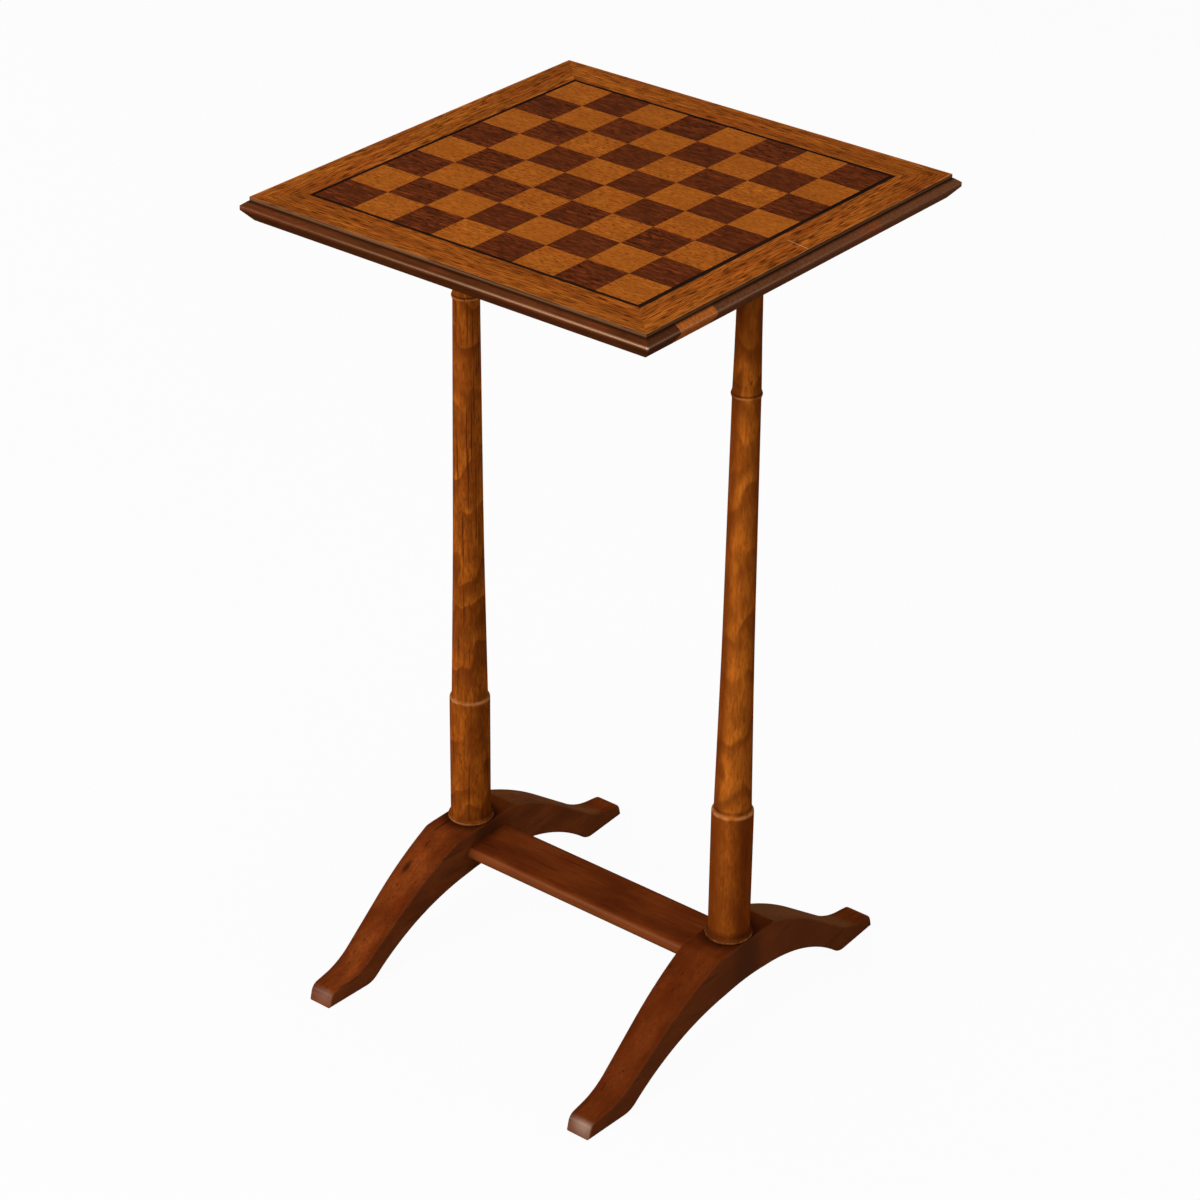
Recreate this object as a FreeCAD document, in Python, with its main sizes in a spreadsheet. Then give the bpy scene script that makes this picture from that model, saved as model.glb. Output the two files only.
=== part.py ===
import FreeCAD, Part
import math
import os

import Sketcher
from FreeCAD import Placement, Rotation, Vector

# Chess table: an inlaid square top on two turned pillars, two arched feet and a flat stretcher.
# Millimetres, +Z up, origin on the floor under the middle of the table.
# X runs along the stretcher from left to right, Y along the feet from front to back.

SQUARES_PER_SIDE = 8
BATTENS = 2
SCREWS_PER_BATTEN = 4

# Staves of the top from back to front, as shares of its width
STAVE_SHARES = (0.276, 0.262, 0.257, 0.109, 0.096)

# Outline points of a foot, as shares of half its length, from the middle to the toe
FOOT_SHARES = {
    "knee": 0.187,
    "thigh": 0.395,
    "arch": 0.735,                   # where the arch meets the floor
    "ankle": 0.81,
    "toe_top": 0.983,
}

# Height of a foot's thigh point, as a share of the foot's height
THIGH_HEIGHT_SHARE = 0.8156

# Radius that rounds the moulded nose above and below, as a share of its height
NOSE_SHARE = 0.95

# Where the long taper of a pillar changes its slope, as a share of the way from step to ring
WAIST_SHARE = 0.4

SIZES = {
    # inlaid board
    "square_side": 38.0,
    "joint_line": 0.1,               # hairline between neighbouring squares
    "stringing_width": 3.0,
    "border_width": 31.0,
    "veneer_thickness": 1.2,
    # moulded top
    "table_height": 702.0,
    "top_thickness": 19.0,
    "quirk_depth": 3.4,              # small step just below the veneered face
    "quirk_width": 1.0,
    "mould_reach": 5.9,              # nose beyond the edge of the veneered face
    "nose_drop": 8.4,                # middle of the nose below the face
    "nose_height": 2.4,
    "mitre_radius": 2.0,             # rounding of the four corners in plan
    "underside_inset": 2.2,          # underside inside the edge of the veneered face
    # battens and screws under the top
    "batten_length": 250.0,
    "batten_width": 38.0,
    "batten_thickness": 16.0,
    "batten_end_height": 7.0,
    "batten_bevel_length": 28.0,
    "screw_end_distance": 20.0,      # from the end of a batten to its first screw
    "screw_length": 28.0,
    "screw_head_diameter": 8.0,
    "screw_head_height": 3.0,
    "screw_shank_diameter": 4.0,
    "screw_point_length": 5.0,
    "screw_slot_width": 1.2,
    "screw_slot_depth": 1.4,
    "screw_clearance": 0.1,
    # turned pillars
    "pillar_spread": 274.0,
    "pillar_top_diameter": 19.2,
    "flare_drop": 47.0,              # from the shoulder at the top down to where the flare begins
    "flare_diameter": 20.2,
    "flare_radius": 300.0,
    "neck_diameter": 22.0,           # on both sides of the ring
    "ring_drop": 93.7,               # from that shoulder down to the middle of the ring
    "ring_height": 6.8,
    "ring_diameter": 24.2,
    "ring_radius": 1.0,
    "ring_cove_radius": 2.5,
    "waist_diameter": 25.4,
    "waist_radius": 5000.0,
    "taper_base_diameter": 30.4,
    "barrel_height": 119.2,          # from the foot up to the step
    "step_radius": 1.7,
    "barrel_diameter": 34.0,
    "flange_diameter": 38.6,
    "flange_thickness": 3.0,
    "flange_radius": 1.2,
    "flange_cove_radius": 2.0,
    "top_tenon_diameter": 13.0,
    "top_tenon_length": 12.0,
    "foot_tenon_diameter": 15.0,
    "foot_tenon_length": 28.0,
    "tenon_clearance": 0.1,          # glue room around a tenon
    "tenon_end_room": 0.5,           # glue room beyond its end
    # arched feet
    "foot_length": 385.0,
    "foot_height": 90.0,
    "foot_block_width": 39.2,        # thickness where the pillar and the stretcher join
    "foot_block_length": 54.0,
    "toe_width": 22.6,
    "crown_thickness": 37.0,         # wood above the top of the arch
    "knee_radius": 10.0,
    "thigh_radius": 280.0,
    "ankle_height": 16.8,
    "ankle_radius": 65.0,
    "toe_top_height": 13.0,
    "toe_radius": 9.0,
    "heel_radius": 20.0,
    "foot_edge_radius": 1.8,
    # stretcher
    "stretcher_width": 53.0,
    "stretcher_thickness": 12.6,
    "stretcher_edge_radius": 6.0,
    "stretcher_tenon_width": 36.0,
    "stretcher_tenon_thickness": 8.0,
    "stretcher_tenon_length": 9.5,
    # how far a cutting outline runs past the wood, and how near counts as touching
    "cut_overrun": 6.0,
    "touch_distance": 0.02,
}

doc = FreeCAD.newDocument("ChessTable")
sheet = doc.addObject("Spreadsheet::Sheet", "dims")
for row, (alias, size) in enumerate(SIZES.items(), start=1):
    sheet.set(f"A{row}", alias)
    sheet.set(f"B{row}", str(size))
    sheet.setAlias(f"B{row}", alias)
doc.recompute()

# Formulas that several pieces share
HALF_BOARD = f"({SQUARES_PER_SIDE} * dims.square_side / 2)"
HALF_STRUNG = f"({HALF_BOARD} + dims.stringing_width)"
HALF_FLAT = f"({HALF_STRUNG} + dims.border_width)"
HALF_TOP = f"({HALF_FLAT} + dims.mould_reach)"
CORE_TOP = "(dims.table_height - dims.veneer_thickness)"
UNDERSIDE = "(dims.table_height - dims.top_thickness)"
BATTEN_BOTTOM = f"({UNDERSIDE} - dims.batten_thickness)"
PILLAR_X = "(dims.pillar_spread / 2)"
FIRST_SCREW_Y = "(dims.screw_end_distance - dims.batten_length / 2)"
SCREW_PITCH = f"(-2 * {FIRST_SCREW_Y} / {SCREWS_PER_BATTEN - 1})"
HALF_BLOCK = "(dims.foot_block_width / 2)"
FOOT_REACH = {name: f"({share} * dims.foot_length / 2)" for name, share in FOOT_SHARES.items()}
ARCH_HEIGHT = "(dims.foot_height - dims.crown_thickness)"
ARCH_RADIUS = f"(({FOOT_REACH['arch']} ^ 2 + {ARCH_HEIGHT} ^ 2) / (2 * {ARCH_HEIGHT}))"
STRETCHER_LEVEL = "(dims.foot_height - dims.crown_thickness / 2)"

# Steps of the screw pattern: axis, spacing, count and whether it runs backwards
ALONG_BATTEN = ("Y_Axis", SCREW_PITCH, SCREWS_PER_BATTEN, False)
BETWEEN_BATTENS = ("X_Axis", "dims.pillar_spread", BATTENS, True)

sub_parts = []


def value(formula):
    """Size in millimetres that a formula gives."""
    return float(sheet.evalExpression(formula))


def add_body(label):
    body = doc.addObject("PartDesign::Body", label)
    body.Label = label
    return body


def keep(piece):
    """Count a finished object among the sub-parts that are written out."""
    sub_parts.append(piece)
    return piece


def origin_feature(body, role):
    return next(item for item in body.Origin.OriginFeatures if item.Role == role)


def add_sketch(body, name, role, **offsets):
    """Sketch on an origin plane of its body, moved by formulas for x, y and z in the plane's own axes."""
    sketch = body.newObject("Sketcher::SketchObject", f"{body.Name}_{name}")
    sketch.AttachmentSupport = (origin_feature(body, role), [""])
    sketch.MapMode = "FlatFace"
    for axis, formula in offsets.items():
        sketch.setExpression(f"AttachmentOffset.Base.{axis}", formula)
    return sketch


def bind_constraint(sketch, constraint, formula):
    index = sketch.addConstraint(constraint)
    sketch.setExpression(f"Constraints[{index}]", formula)


def pin(sketch, geometry, point, across, up):
    """Hold a sketch point at the place that two formulas give."""
    for kind, formula in (("DistanceX", across), ("DistanceY", up)):
        constraint = Sketcher.Constraint(kind, -1, 1, geometry, point, value(formula))
        bind_constraint(sketch, constraint, formula)


def draw_circle(sketch, across, up, radius):
    centre = Vector(value(across), value(up), 0)
    circle = sketch.addGeometry(Part.Circle(centre, Vector(0, 0, 1), value(radius)))
    pin(sketch, circle, 3, across, up)
    bind_constraint(sketch, Sketcher.Constraint("Radius", circle, value(radius)), radius)


def corner_ends(before, here, after, radius):
    """Where a rounding leaves the two sides of a corner, and the middle of its arc."""
    back = (before - here).normalize()
    ahead = (after - here).normalize()
    half_angle = back.getAngle(ahead) / 2
    reach = radius / math.tan(half_angle)
    depth = radius / math.sin(half_angle) - radius
    return here + back * reach, here + (back + ahead).normalize() * depth, here + ahead * reach


def draw_outline(sketch, corners):
    """Closed outline of straight sides. A corner is (across, up), with a radius third where it is round."""
    places = [Vector(value(corner[0]), value(corner[1]), 0) for corner in corners]
    following = places[1:] + places[:1]
    arcs = []
    for index, corner in enumerate(corners):
        here = places[index]
        radius = value(corner[2]) if len(corner) == 3 else 0
        arcs.append(corner_ends(places[index - 1], here, following[index], radius))
    sides = []
    for arc, next_arc in zip(arcs, arcs[1:] + arcs[:1]):
        sides.append(sketch.addGeometry(Part.LineSegment(arc[2], next_arc[0])))
    for index, corner in enumerate(corners):
        side_before = sides[index - 1]
        side_after = sides[index]
        if len(corner) == 2:
            sketch.addConstraint(Sketcher.Constraint("Coincident", side_before, 2, side_after, 1))
            pin(sketch, side_after, 1, corner[0], corner[1])
            continue
        start, middle, end = arcs[index]
        arc = sketch.addGeometry(Part.Arc(start, middle, end))
        from_start = (sketch.getPoint(arc, 1) - start).Length
        from_end = (sketch.getPoint(arc, 1) - end).Length
        first, last = (1, 2) if from_start < from_end else (2, 1)
        sketch.addConstraint(Sketcher.Constraint("Tangent", side_before, 2, arc, first))
        sketch.addConstraint(Sketcher.Constraint("Tangent", side_after, 1, arc, last))
        bind_constraint(sketch, Sketcher.Constraint("Radius", arc, value(corner[2])), corner[2])
        tip = sketch.addGeometry(Part.Point(places[index]), True)
        sketch.addConstraint(Sketcher.Constraint("PointOnObject", tip, 1, side_before))
        sketch.addConstraint(Sketcher.Constraint("PointOnObject", tip, 1, side_after))
        pin(sketch, tip, 1, corner[0], corner[1])


def draw_rectangle(sketch, left, right, bottom, top):
    draw_outline(sketch, [(left, bottom), (right, bottom), (right, top), (left, top)])


def mirrored(corners):
    """The same corners on the other side of the upright axis, in the order that continues an outline."""
    return [(f"-{corner[0]}",) + tuple(corner[1:]) for corner in reversed(corners)]


def add_pad(body, sketch, length, symmetric=False):
    pad = body.newObject("PartDesign::Pad", f"{sketch.Name}_pad")
    pad.Profile = sketch
    pad.SideType = "Symmetric" if symmetric else "One side"
    pad.setExpression("Length", length)
    doc.recompute()
    return pad


def check_cut(feature):
    """A cut has to take wood away."""
    if feature.Shape.Volume >= feature.BaseFeature.Shape.Volume:
        raise RuntimeError(f"{feature.Name} cuts nothing")
    return feature


def add_pocket(body, sketch, length=None, reverse=False):
    """Cut to a depth, or right through on both sides of the sketch where no depth is given."""
    pocket = body.newObject("PartDesign::Pocket", f"{sketch.Name}_pocket")
    pocket.Profile = sketch
    pocket.Reversed = reverse
    if length is None:
        pocket.SideType = "Symmetric"
        pocket.Type = "ThroughAll"
    else:
        pocket.setExpression("Length", length)
    doc.recompute()
    return check_cut(pocket)


def add_turning(body, sketch, kind="PartDesign::Revolution"):
    turning = body.newObject(kind, f"{sketch.Name}_turning")
    turning.Profile = sketch
    turning.ReferenceAxis = (sketch, ["V_Axis"])
    doc.recompute()
    return turning


def add_pattern(body, features, steps):
    """Repeat features along one or two axes. A step is (axis role, spacing formula, count, backwards)."""
    pattern = body.newObject("PartDesign::LinearPattern", f"{body.Name}_pattern")
    pattern.Originals = features
    for suffix, (role, spacing, count, backwards) in zip(("", "2"), steps):
        setattr(pattern, f"Direction{suffix}", (origin_feature(body, role), [""]))
        setattr(pattern, f"Mode{suffix}", "Extent")
        setattr(pattern, f"Reversed{suffix}", backwards)
        setattr(pattern, f"Occurrences{suffix}", count)
        pattern.setExpression(f"Length{suffix}", f"{count - 1} * {spacing}")
    body.Tip = pattern
    doc.recompute()
    return pattern


def place(piece, x="0", y="0", turn=0):
    """Put a finished piece where two formulas say, turned about the upright axis."""
    piece.Placement = Placement(Vector(value(x), value(y), 0), Rotation(Vector(0, 0, 1), turn))
    piece.setExpression(".Placement.Base.x", x)
    piece.setExpression(".Placement.Base.y", y)


# Veneers of the face


def make_squares(label, first_columns):
    """Every second square of the board: two neighbours on a diagonal, repeated both ways."""
    body = add_body(label)
    sketch = add_sketch(body, "squares", "XY_Plane", z=CORE_TOP)
    for row_index, column_index in enumerate(first_columns):
        sides = []
        for step in (column_index, row_index):
            sides.append(f"({step} * dims.square_side + dims.joint_line / 2)")
            sides.append(f"({step + 1} * dims.square_side - dims.joint_line / 2)")
        draw_rectangle(sketch, *sides)
    pad = add_pad(body, sketch, "dims.veneer_thickness")
    spacing = "2 * dims.square_side"
    count = SQUARES_PER_SIDE // 2
    add_pattern(body, [pad], [("X_Axis", spacing, count, False), ("Y_Axis", spacing, count, False)])
    place(body, f"-{HALF_BOARD}", f"-{HALF_BOARD}")
    keep(body)


def make_mitred_frame(name, inner, outer):
    """Four strips with mitred ends around a square, the front one first and then anticlockwise."""
    for quarter, side in enumerate(("front", "right", "back", "left")):
        body = add_body(f"{name}_{side}")
        sketch = add_sketch(body, "strip", "XY_Plane", z=CORE_TOP)
        long_edge = [(f"-{outer}", f"-{outer}"), (outer, f"-{outer}")]
        short_edge = [(inner, f"-{inner}"), (f"-{inner}", f"-{inner}")]
        draw_outline(sketch, long_edge + short_edge)
        add_pad(body, sketch, "dims.veneer_thickness")
        place(body, turn=90 * quarter)
        keep(body)


# Solid core with its moulded edge


def mould_outline():
    """Section of the top: quirk, sloping shoulder, rounded nose and an undercut to the underside."""
    quirk_level = "(dims.table_height - dims.quirk_depth)"
    nose_top = "(dims.table_height - dims.nose_drop + dims.nose_height / 2)"
    nose_bottom = "(dims.table_height - dims.nose_drop - dims.nose_height / 2)"
    nose_radius = f"({NOSE_SHARE} * dims.nose_height)"
    right_side = [
        (f"({HALF_FLAT} - dims.underside_inset)", UNDERSIDE),
        (HALF_TOP, nose_bottom, nose_radius),
        (HALF_TOP, nose_top, nose_radius),
        (f"({HALF_FLAT} + dims.quirk_width)", quirk_level),
        (HALF_FLAT, quirk_level),
        (HALF_FLAT, CORE_TOP),
    ]
    return right_side + mirrored(right_side)


def screw_outline(sketch, clearance):
    """Half section of a countersunk screw, point up, larger all round by a clearance."""
    head_radius = f"(dims.screw_head_diameter / 2 + {clearance})"
    shank_radius = f"(dims.screw_shank_diameter / 2 + {clearance})"
    neck_level = f"({BATTEN_BOTTOM} + dims.screw_head_height)"
    tip_level = f"({BATTEN_BOTTOM} + dims.screw_length + {clearance})"
    draw_outline(sketch, [
        ("0", BATTEN_BOTTOM),
        (head_radius, BATTEN_BOTTOM),
        (shank_radius, neck_level),
        (shank_radius, f"({tip_level} - dims.screw_point_length)"),
        ("0", tip_level),
    ])


def add_screw_holes(body, x, steps):
    """Screw-shaped holes in a piece, in the same pattern as the screws."""
    sketch = add_sketch(body, "screw_hole", "XZ_Plane", x=x, z=f"-{FIRST_SCREW_Y}")
    screw_outline(sketch, "dims.screw_clearance")
    groove = check_cut(add_turning(body, sketch, "PartDesign::Groove"))
    add_pattern(body, [groove], steps)


def make_core():
    """Square panel with a moulded edge all round, which the staves are slices of."""
    panel = add_body("core_panel")
    section = add_sketch(panel, "section", "YZ_Plane")
    draw_outline(section, mould_outline())
    add_pad(panel, section, f"(2 * {HALF_TOP})", symmetric=True)
    waste = add_sketch(panel, "end_waste", "XZ_Plane")
    draw_outline(waste, mould_outline())
    far_side = f"({HALF_TOP} + dims.cut_overrun)"
    below = f"({UNDERSIDE} - dims.cut_overrun)"
    above = "(dims.table_height + dims.cut_overrun)"
    draw_rectangle(waste, f"-{far_side}", far_side, below, above)
    add_pocket(panel, waste)
    corner_waste = add_sketch(panel, "corner_waste", "XY_Plane")
    right_corners = [
        (HALF_TOP, f"-{HALF_TOP}", "dims.mitre_radius"),
        (HALF_TOP, HALF_TOP, "dims.mitre_radius"),
    ]
    draw_outline(corner_waste, right_corners + mirrored(right_corners))
    draw_rectangle(corner_waste, f"-{far_side}", far_side, f"-{far_side}", far_side)
    add_pocket(panel, corner_waste)
    add_screw_holes(panel, PILLAR_X, [ALONG_BATTEN, BETWEEN_BATTENS])
    return panel


def make_staves(panel):
    """Slices of the panel from back to front, cut by slabs that overrun it outside."""
    outside = f"({HALF_TOP} + dims.cut_overrun)"
    joints = [outside]
    for number in range(1, len(STAVE_SHARES)):
        joints.append(f"({HALF_TOP} - {sum(STAVE_SHARES[:number])} * 2 * {HALF_TOP})")
    joints.append(f"-{outside}")
    for number, (back, front) in enumerate(zip(joints, joints[1:]), start=1):
        slab = doc.addObject("Part::Box", f"stave_slab_{number}")
        slab.setExpression("Length", f"2 * {outside}")
        slab.setExpression("Width", f"{back} - {front}")
        slab.setExpression("Height", "dims.top_thickness + dims.cut_overrun")
        slab.setExpression(".Placement.Base.x", f"-{outside}")
        slab.setExpression(".Placement.Base.y", front)
        slab.setExpression(".Placement.Base.z", UNDERSIDE)
        stave = doc.addObject("Part::Common", f"top_stave_{number}")
        stave.Label = f"top_stave_{number}"
        stave.Base = panel
        stave.Tool = slab
        keep(stave)


# Battens under the top and their screws


def make_batten(label, x):
    body = add_body(label)
    side = add_sketch(body, "side", "YZ_Plane")
    end_level = f"({UNDERSIDE} - dims.batten_end_height)"
    right_side = [
        ("(dims.batten_length / 2 - dims.batten_bevel_length)", BATTEN_BOTTOM),
        ("(dims.batten_length / 2)", end_level),
        ("(dims.batten_length / 2)", UNDERSIDE),
    ]
    draw_outline(side, right_side + mirrored(right_side))
    add_pad(body, side, "dims.batten_width", symmetric=True)
    hole = add_sketch(body, "tenon_hole", "XY_Plane", z=BATTEN_BOTTOM)
    draw_circle(hole, "0", "0", "(dims.top_tenon_diameter / 2 + dims.tenon_clearance)")
    add_pocket(body, hole, "dims.top_tenon_length + dims.tenon_end_room", reverse=True)
    add_screw_holes(body, "0", [ALONG_BATTEN])
    place(body, x)
    keep(body)


def make_batten_screws():
    body = add_body("batten_screws")
    half_section = add_sketch(body, "half_section", "XZ_Plane")
    screw_outline(half_section, "0")
    screw = add_turning(body, half_section)
    slot_sketch = add_sketch(body, "slot", "XY_Plane", z=BATTEN_BOTTOM)
    slot_end = "(dims.screw_head_diameter / 2 + dims.cut_overrun)"
    slot_side = "(dims.screw_slot_width / 2)"
    draw_rectangle(slot_sketch, f"-{slot_side}", slot_side, f"-{slot_end}", slot_end)
    slot = add_pocket(body, slot_sketch, "dims.screw_slot_depth", reverse=True)
    add_pattern(body, [screw, slot], [ALONG_BATTEN, BETWEEN_BATTENS])
    place(body, PILLAR_X, FIRST_SCREW_Y)
    keep(body)


# Turned pillars


def make_pillar(label, x):
    """One turning from tenon to tenon: flange, barrel, step, long taper, ring and flared top."""
    body = add_body(label)
    half_section = add_sketch(body, "half_section", "XZ_Plane")
    foot_tenon = "(dims.foot_tenon_diameter / 2)"
    top_tenon = "(dims.top_tenon_diameter / 2)"
    flange = "(dims.flange_diameter / 2)"
    barrel = "(dims.barrel_diameter / 2)"
    neck = "(dims.neck_diameter / 2)"
    flange_top = "(dims.foot_height + dims.flange_thickness)"
    step_level = "(dims.foot_height + dims.barrel_height)"
    ring_level = f"({BATTEN_BOTTOM} - dims.ring_drop)"
    ring_top = f"({ring_level} + dims.ring_height / 2)"
    ring_bottom = f"({ring_level} - dims.ring_height / 2)"
    waist_level = f"({step_level} + {WAIST_SHARE} * ({ring_bottom} - {step_level}))"
    draw_outline(half_section, [
        ("0", "(dims.foot_height - dims.foot_tenon_length)"),
        (foot_tenon, "(dims.foot_height - dims.foot_tenon_length)"),
        (foot_tenon, "dims.foot_height"),
        (flange, "dims.foot_height", "dims.flange_radius"),
        (flange, flange_top, "dims.flange_radius"),
        (barrel, flange_top, "dims.flange_cove_radius"),
        (barrel, step_level, "dims.step_radius"),
        ("(dims.taper_base_diameter / 2)", step_level),
        ("(dims.waist_diameter / 2)", waist_level, "dims.waist_radius"),
        (neck, ring_bottom, "dims.ring_cove_radius"),
        ("(dims.ring_diameter / 2)", ring_level, "dims.ring_radius"),
        (neck, ring_top, "dims.ring_cove_radius"),
        ("(dims.flare_diameter / 2)", f"({BATTEN_BOTTOM} - dims.flare_drop)", "dims.flare_radius"),
        ("(dims.pillar_top_diameter / 2)", BATTEN_BOTTOM),
        (top_tenon, BATTEN_BOTTOM),
        (top_tenon, f"({BATTEN_BOTTOM} + dims.top_tenon_length)"),
        ("0", f"({BATTEN_BOTTOM} + dims.top_tenon_length)"),
    ])
    add_turning(body, half_section)
    place(body, x)
    keep(body)


# Arched feet


def foot_side_outline():
    """Side view of a foot without its arch: flat block, knee, long leg and thin toe."""
    right_side = [
        ("(dims.foot_length / 2)", "0"),
        (FOOT_REACH["toe_top"], "dims.toe_top_height", "dims.toe_radius"),
        (FOOT_REACH["ankle"], "dims.ankle_height", "dims.ankle_radius"),
        (FOOT_REACH["thigh"], f"({THIGH_HEIGHT_SHARE} * dims.foot_height)", "dims.thigh_radius"),
        (FOOT_REACH["knee"], "dims.foot_height", "dims.knee_radius"),
    ]
    return right_side + mirrored(right_side)


def foot_plan_outline():
    """Plan of a foot: a straight block in the middle, tapered to the toes."""
    half_block_length = "(dims.foot_block_length / 2)"
    half_length = "(dims.foot_length / 2)"
    half_toe = "(dims.toe_width / 2)"
    right_side = [
        (half_toe, f"-{half_length}"),
        (HALF_BLOCK, f"-{half_block_length}"),
        (HALF_BLOCK, half_block_length),
        (half_toe, half_length),
    ]
    return right_side + mirrored(right_side)


def ease_edges(body, wanted, radius, name):
    """Round the edges of a body that a test picks."""
    base = body.Tip
    edges = [f"Edge{number}" for number, edge in enumerate(base.Shape.Edges, start=1) if wanted(edge)]
    fillet = body.newObject("PartDesign::Fillet", f"{body.Name}_{name}")
    fillet.Base = (base, edges)
    fillet.setExpression("Radius", radius)
    doc.recompute()
    return check_cut(fillet)


def is_heel(edge):
    """An edge across the foot where the arch meets the floor."""
    box = edge.BoundBox
    on_floor = box.ZMax < value("dims.touch_distance")
    at_arch = abs(abs(box.Center.y) - value(FOOT_REACH["arch"])) < value("dims.touch_distance")
    return on_floor and at_arch


def is_long_edge(edge):
    """An edge that runs along the foot above the floor, at its top or round its arch."""
    box = edge.BoundBox
    return box.ZMax > value("dims.touch_distance") and box.YLength > value("dims.touch_distance")


def make_foot(label, x, turn):
    body = add_body(label)
    side = add_sketch(body, "side", "YZ_Plane")
    draw_outline(side, foot_side_outline())
    add_pad(body, side, "dims.foot_block_width", symmetric=True)
    arch = add_sketch(body, "arch", "YZ_Plane")
    draw_circle(arch, "0", f"({ARCH_HEIGHT} - {ARCH_RADIUS})", ARCH_RADIUS)
    add_pocket(body, arch)
    ease_edges(body, is_heel, "dims.heel_radius", "heels")
    plan = add_sketch(body, "plan", "XY_Plane")
    draw_outline(plan, foot_plan_outline())
    far_x = f"({HALF_BLOCK} + dims.cut_overrun)"
    far_y = "(dims.foot_length / 2 + dims.cut_overrun)"
    draw_rectangle(plan, f"-{far_x}", far_x, f"-{far_y}", far_y)
    add_pocket(body, plan)
    ease_edges(body, is_long_edge, "dims.foot_edge_radius", "long_edges")
    hole = add_sketch(body, "tenon_hole", "XY_Plane", z="dims.foot_height")
    draw_circle(hole, "0", "0", "(dims.foot_tenon_diameter / 2 + dims.tenon_clearance)")
    add_pocket(body, hole, "dims.foot_tenon_length + dims.tenon_end_room")
    mortise = add_sketch(body, "mortise", "YZ_Plane", z=f"-{HALF_BLOCK}")
    draw_tenon(mortise, "dims.tenon_clearance")
    add_pocket(body, mortise, "dims.stretcher_tenon_length + dims.tenon_end_room", reverse=True)
    place(body, x, turn=turn)
    keep(body)


# Stretcher


def draw_tenon(sketch, clearance):
    """Section of the stretcher's tenon, larger all round by a clearance."""
    half_width = f"(dims.stretcher_tenon_width / 2 + {clearance})"
    half_thickness = f"(dims.stretcher_tenon_thickness / 2 + {clearance})"
    bottom = f"({STRETCHER_LEVEL} - {half_thickness})"
    top = f"({STRETCHER_LEVEL} + {half_thickness})"
    draw_rectangle(sketch, f"-{half_width}", half_width, bottom, top)


def make_stretcher():
    body = add_body("stretcher")
    half_width = "(dims.stretcher_width / 2)"
    bottom = f"({STRETCHER_LEVEL} - dims.stretcher_thickness / 2)"
    top = f"({STRETCHER_LEVEL} + dims.stretcher_thickness / 2)"
    right_side = [
        (half_width, bottom, "dims.stretcher_edge_radius"),
        (half_width, top, "dims.stretcher_edge_radius"),
    ]
    between_feet = "(dims.pillar_spread - dims.foot_block_width)"
    section = add_sketch(body, "section", "YZ_Plane")
    draw_outline(section, right_side + mirrored(right_side))
    add_pad(body, section, between_feet, symmetric=True)
    tenon = add_sketch(body, "tenon", "YZ_Plane")
    draw_tenon(tenon, "0")
    add_pad(body, tenon, f"({between_feet} + 2 * dims.stretcher_tenon_length)", symmetric=True)
    keep(body)


make_squares("dark_squares", (0, 1))
make_squares("light_squares", (1, 0))
make_mitred_frame("stringing", HALF_BOARD, HALF_STRUNG)
make_mitred_frame("border", HALF_STRUNG, HALF_FLAT)
make_staves(make_core())
make_batten("batten_left", f"-{PILLAR_X}")
make_batten("batten_right", PILLAR_X)
make_batten_screws()
make_pillar("pillar_left", f"-{PILLAR_X}")
make_pillar("pillar_right", PILLAR_X)
make_foot("foot_left", f"-{PILLAR_X}", 180)
make_foot("foot_right", PILLAR_X, 0)
make_stretcher()
doc.recompute()

for item in doc.Objects:
    if "Invalid" in item.State or "Error" in item.State:
        raise RuntimeError(f"{item.Name} failed: {item.State}")
for piece in sub_parts:
    if piece.Shape.isNull() or not piece.Shape.isValid():
        raise RuntimeError(f"{piece.Label} has no valid shape")

os.makedirs("parts", exist_ok=True)
for piece in sub_parts:
    piece.Shape.exportStep(os.path.join("parts", f"{piece.Label}.step"))
    print(f"{piece.Label}: {len(piece.Shape.Solids)} solids, {piece.Shape.Volume:.0f} mm3")
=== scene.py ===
import math

import bpy
from mathutils import Color, Matrix, Vector

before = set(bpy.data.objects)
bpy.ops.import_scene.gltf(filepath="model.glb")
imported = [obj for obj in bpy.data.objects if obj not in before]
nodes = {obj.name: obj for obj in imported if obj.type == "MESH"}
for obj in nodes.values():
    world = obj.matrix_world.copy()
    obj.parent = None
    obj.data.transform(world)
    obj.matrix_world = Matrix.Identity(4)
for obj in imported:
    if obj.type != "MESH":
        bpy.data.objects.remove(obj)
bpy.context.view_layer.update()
print("frame loaded with", len(nodes), "pieces")


def paint(red, green, blue):  # sRGB bytes to the linear colour that shaders mix
    tone = Color((red / 255, green / 255, blue / 255)).from_srgb_to_scene_linear()
    return (*tone, 1)


class Shade:
    # a socket's value: Python's operators add the Math nodes that work it out
    def __init__(self, finish, socket):
        self.finish = finish
        self.socket = socket

    def work(self, operation, first, second=0):
        return self.finish.add("ShaderNodeMath", {"operation": operation}, {0: first, 1: second})

    def __add__(self, other):
        return self.work("ADD", self, other)

    def __radd__(self, other):
        return self.work("ADD", other, self)

    def __sub__(self, other):
        return self.work("SUBTRACT", self, other)

    def __rsub__(self, other):
        return self.work("SUBTRACT", other, self)

    def __mul__(self, other):
        return self.work("MULTIPLY", self, other)

    def __rmul__(self, other):
        return self.work("MULTIPLY", other, self)

    def __truediv__(self, other):
        return self.work("DIVIDE", self, other)

    def __rtruediv__(self, other):
        return self.work("DIVIDE", other, self)

    def __pow__(self, other):
        return self.work("POWER", self, other)

    def __rpow__(self, other):
        return self.work("POWER", other, self)

    def __abs__(self):
        return self.work("ABSOLUTE", self)

    def floor(self):
        return self.work("FLOOR", self)

    def fraction(self):
        return self.work("FRACT", self)

    def larger(self, other):
        return self.work("MAXIMUM", self, other)

    def smaller(self, other):
        return self.work("MINIMUM", self, other)


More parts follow.
